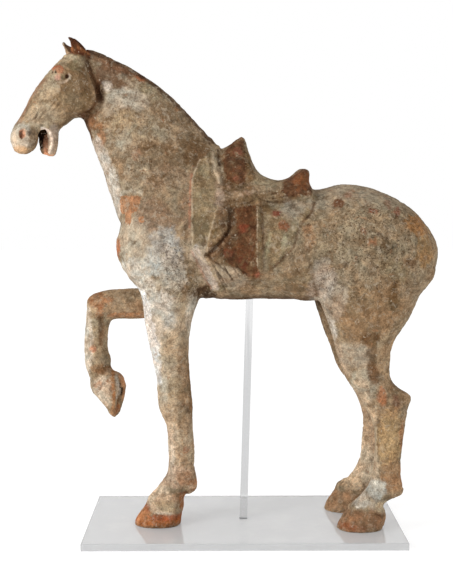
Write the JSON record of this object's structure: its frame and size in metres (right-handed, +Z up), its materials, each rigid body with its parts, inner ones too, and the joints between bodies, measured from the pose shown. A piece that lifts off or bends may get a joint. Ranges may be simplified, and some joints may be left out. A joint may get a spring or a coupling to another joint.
{
  "type": "tang pottery horse",
  "caption": "Painted earthenware horse with saddle and cloths, one foreleg raised, on a clear plate with a clear square bar under the belly.",
  "frame": {"origin": "middle of the clear plate's underside", "axes": "+Z up, the horse's head to -X, the horse's left side to -Y"},
  "size_m": [0.4683, 0.18, 0.5471],
  "materials": {
    "worn_earthenware": "matte fired clay under worn slip and burial earth",
    "clear_plate": "clear acrylic with polished edges",
    "clear_bar": "clear acrylic with polished faces"
  },
  "bodies": {
    "root": {"horse": "worn_earthenware", "base_plate": "clear_plate", "support_rod": "clear_bar"}
  },
  "joints": []
}
